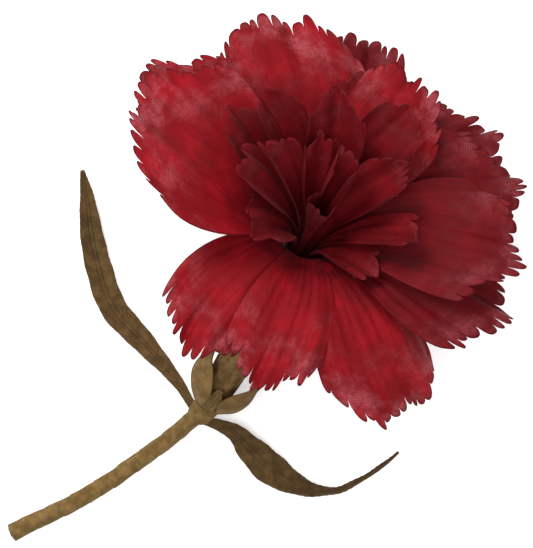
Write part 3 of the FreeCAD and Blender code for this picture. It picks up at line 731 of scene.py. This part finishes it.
def makeLeaf(name, stations, look, seed):
    # stations: x, y, z, half width, side lean, trough
    dice = np.random.default_rng(seed)
    line = smoothThrough(stations, look["rows"])
    place, half, lean, trough = line[:, :3], line[:, 3:4], np.radians(line[:, 4:5]), line[:, 5:6]
    gone = np.cumsum(np.linalg.norm(np.diff(place, axis=0), axis=1))
    along = np.concatenate([[0], gone])[:, None]
    level, upright = sidesOf(place)
    sideways = level * np.cos(lean) + upright * np.sin(lean)
    normal = upright * np.cos(lean) - level * np.sin(lean)
    side = np.linspace(-1, 1, look["columns"])[None, :]
    outer = np.abs(side)
    edgeAt = along * look["edgeRate"] + np.sign(side) * look["edgePhase"]
    wave = 1 + look["edgeWave"] * np.sin(edgeAt) * side ** 2
    across = side * np.maximum(half, look["leastHalf"]) * wave
    lift = trough * outer ** look["troughPower"]
    veinAt = along - outer * half * look["veinSlant"]
    lift = lift + look["veins"] * np.sin(veinAt * look["veinRate"]) * outer
    lift = lift + look["midrib"] * np.exp(-(side / look["ribWidth"]) ** 2)
    lift = lift - look["groove"] * np.exp(-((outer - look["grooveAt"]) / look["ribWidth"]) ** 2)
    lift = lift + look["roll"] * np.sin(along * look["rollRate"] + dice.uniform(*look["rollPhases"])) * side
    points = place[:, None] + sideways[:, None] * across[..., None] + normal[:, None] * lift[..., None]
    share = np.linspace(0, 1, look["rows"])[:, None]
    obj = gridObject(name, points, spread(across, across, along, side * 0.5 + 0.5, share), leafCloth)
    addThickness(obj, look["gauge"])
    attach(obj, flowerBody)
    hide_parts(name)


leafLook = {
    "rows": 220, "columns": 41, "gauge": 0.45, "leastHalf": 0.05, "troughPower": 1.3,
    "edgeWave": 0.03, "edgeRate": 0.9, "edgePhase": 1.3, "veins": 0.05, "veinRate": 3.4, "veinSlant": 1.1,
    "midrib": 0.15, "ribWidth": 0.07, "groove": 0.22, "grooveAt": 0.16,
    "roll": 0.12, "rollRate": 0.6, "rollPhases": (0, 6),
}
makeLeaf("leaf_left", [
    (-2.3, -28.8, 5.5, 0.9, 20, 0.2), (-10.5, -24.5, 3.8, 1.5, 10, 0.4), (-22.5, -20.4, 2.2, 2.8, 0, 0.6),
    (-33, -16.8, 1.4, 3.3, 0, 0.7), (-41.5, -9.5, 1.4, 3.2, 0, 0.7), (-47.5, -2.6, 2.4, 2.7, 0, 0.6),
    (-52.3, 3.9, 4.2, 1.7, 0, 0.4), (-56.4, 8.8, 6.2, 0.5, 0, 0.1),
], leafLook, 5)
makeLeaf("leaf_right", [
    (-0.2, -30.0, 5.6, 0.9, -20, 0.2), (8.2, -28.6, 3.8, 2.0, -10, 0.4), (14.5, -30.4, 2.4, 3.4, 0, 0.7),
    (20.5, -32.0, 1.6, 4.0, 6, 0.8), (26.3, -32.6, 1.8, 3.4, 22, 0.7), (32.4, -32.0, 2.8, 2.5, 50, 0.5),
    (38.5, -28.6, 5.0, 1.9, 70, 0.4), (42.5, -22.3, 8.2, 1.5, 75, 0.3), (45.0, -16.6, 11.6, 0.9, 75, 0.2),
    (46.2, -12.5, 14.0, 0.4, 75, 0.1),
], leafLook, 6)
print("leaves pressed")


def makePad():
    # a strip of felt that fills the wedge between the clip's arm and the calyx
    look = {
        "rows": 110, "columns": 15, "sides": 5, "rim": 0.12, "start": 10.0, "seed": 9,
        "fuzz": 0.07, "fuzzWays": [1, 1, 0.3], "girth": 20, "length": 32,
    }
    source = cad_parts["felt_pad"].data
    spots = [tuple(vertex.co) for vertex in source.vertices]
    tree = BVHTree.FromPolygons(spots, [tuple(face.vertices) for face in source.polygons])
    low, high = np.min(spots, axis=0), np.max(spots, axis=0)
    dice = np.random.default_rng(look["seed"])
    inset = look["rim"] * mm
    start = look["start"] * mm
    rings = []
    for y in np.linspace(low[1] + inset, high[1] - inset, look["rows"]):
        below = []
        above = []
        for x in np.linspace(low[0] + inset, high[0] - inset, look["columns"]):
            up = tree.ray_cast(Vector((x, y, low[2] - start)), Vector((0, 0, 1)))[0]
            down = tree.ray_cast(Vector((x, y, high[2] + start)), Vector((0, 0, -1)))[0]
            if up is None or down is None:
                continue
            below.append(np.array(up))
            above.append(np.array(down))
        if len(below) < look["columns"]:
            continue
        rise = np.linspace(0, 1, look["sides"] + 2)[1:-1, None]
        right = below[-1] * (1 - rise) + above[-1] * rise
        left = above[0] * (1 - rise) + below[0] * rise
        rings.append(np.concatenate([below, right, above[::-1], left]))
    place = np.array(rings) / mm
    away = unit(place - place.mean(axis=1, keepdims=True))
    place = place + away * dice.normal(0, look["fuzz"], place.shape[:2])[..., None] * look["fuzzWays"]
    around = np.linspace(0, 1, place.shape[1] + 1)[None, :]
    share = np.linspace(0, 1, place.shape[0])[:, None]
    spans = spread(around * share, around * look["girth"], share * look["length"], around, share)
    obj = gridObject("felt_pad_cloth", place, spans, padFelt, wrap=True, capped=True)
    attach(obj, flowerBody)
    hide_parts("felt_pad")


makePad()
print("pad cut")


# the stage is in metres
floorLook = {
    "half": 3.0, "drop": 0.0002, "tone": (0.93, 0.93, 0.93, 1), "rough": 0.9,
    "glow": (1, 1, 1, 1), "glowStrength": 0.35,
}
view = {
    "centre": (-0.0039, 0.0094, 0.022), "distance": 1.2, "frameHeight": 0.1343, "roll": 30.0,
    "sensor": 36.0, "nearest": 0.05, "farthest": 20.0,
}
light = {
    "sky": (1, 1, 1, 1), "skyStrength": 0.55, "target": (0, 0.02, 0.03),
    "lamps": {
        "key": {"place": (-0.55, 0.35, 0.75), "size": 0.5, "power": 9.0, "colour": (1.0, 0.98, 0.95)},
        "fill": {"place": (0.6, 0.1, 0.6), "size": 0.6, "power": 1.2, "colour": (0.95, 0.97, 1.0)},
        "top": {"place": (0.0, -0.2, 0.95), "size": 0.6, "power": 4.0, "colour": (1, 1, 1)},
    },
}


def makeFloor():
    # a little under the clip, so that the two don't lie in one plane
    corners = [(x * floorLook["half"], y * floorLook["half"], -floorLook["drop"])
               for x, y in ((-1, -1), (1, -1), (1, 1), (-1, 1))]
    mesh = bpy.data.meshes.new("floor")
    mesh.from_pydata(corners, [], [(0, 1, 2, 3)])
    floor = bpy.data.objects.new("floor", mesh)
    bpy.context.collection.objects.link(floor)
    book = nodeBook("floor_white")
    book.surface({
        "Base Color": floorLook["tone"], "Roughness": floorLook["rough"],
        "Emission Color": floorLook["glow"], "Emission Strength": floorLook["glowStrength"],
    })
    mesh.materials.append(book.material)


def makeCamera():
    data = bpy.data.cameras.new("camera")
    data.sensor_width = view["sensor"]
    data.lens = data.sensor_width * view["distance"] / view["frameHeight"]
    data.clip_start = view["nearest"]
    data.clip_end = view["farthest"]
    camera = bpy.data.objects.new("camera", data)
    bpy.context.collection.objects.link(camera)
    x, y, z = view["centre"]
    camera.location = (x, y, z + view["distance"])
    camera.rotation_euler = (0, 0, math.radians(view["roll"]))
    bpy.context.scene.camera = camera


def makeLight():
    world = bpy.data.worlds.new("studio")
    world.use_nodes = True
    sky = world.node_tree.nodes["Background"]
    sky.inputs["Color"].default_value = light["sky"]
    sky.inputs["Strength"].default_value = light["skyStrength"]
    bpy.context.scene.world = world
    for name, look in light["lamps"].items():
        data = bpy.data.lights.new(name, "AREA")
        data.shape = "DISK"
        data.size = look["size"]
        data.energy = look["power"]
        data.color = look["colour"]
        lamp = bpy.data.objects.new(name, data)
        bpy.context.collection.objects.link(lamp)
        lamp.location = look["place"]
        towards = Vector(light["target"]) - Vector(look["place"])
        lamp.rotation_euler = towards.to_track_quat("-Z", "Y").to_euler()
    bpy.context.scene.view_settings.view_transform = "Standard"


makeFloor()
makeCamera()
makeLight()
print("stage set")
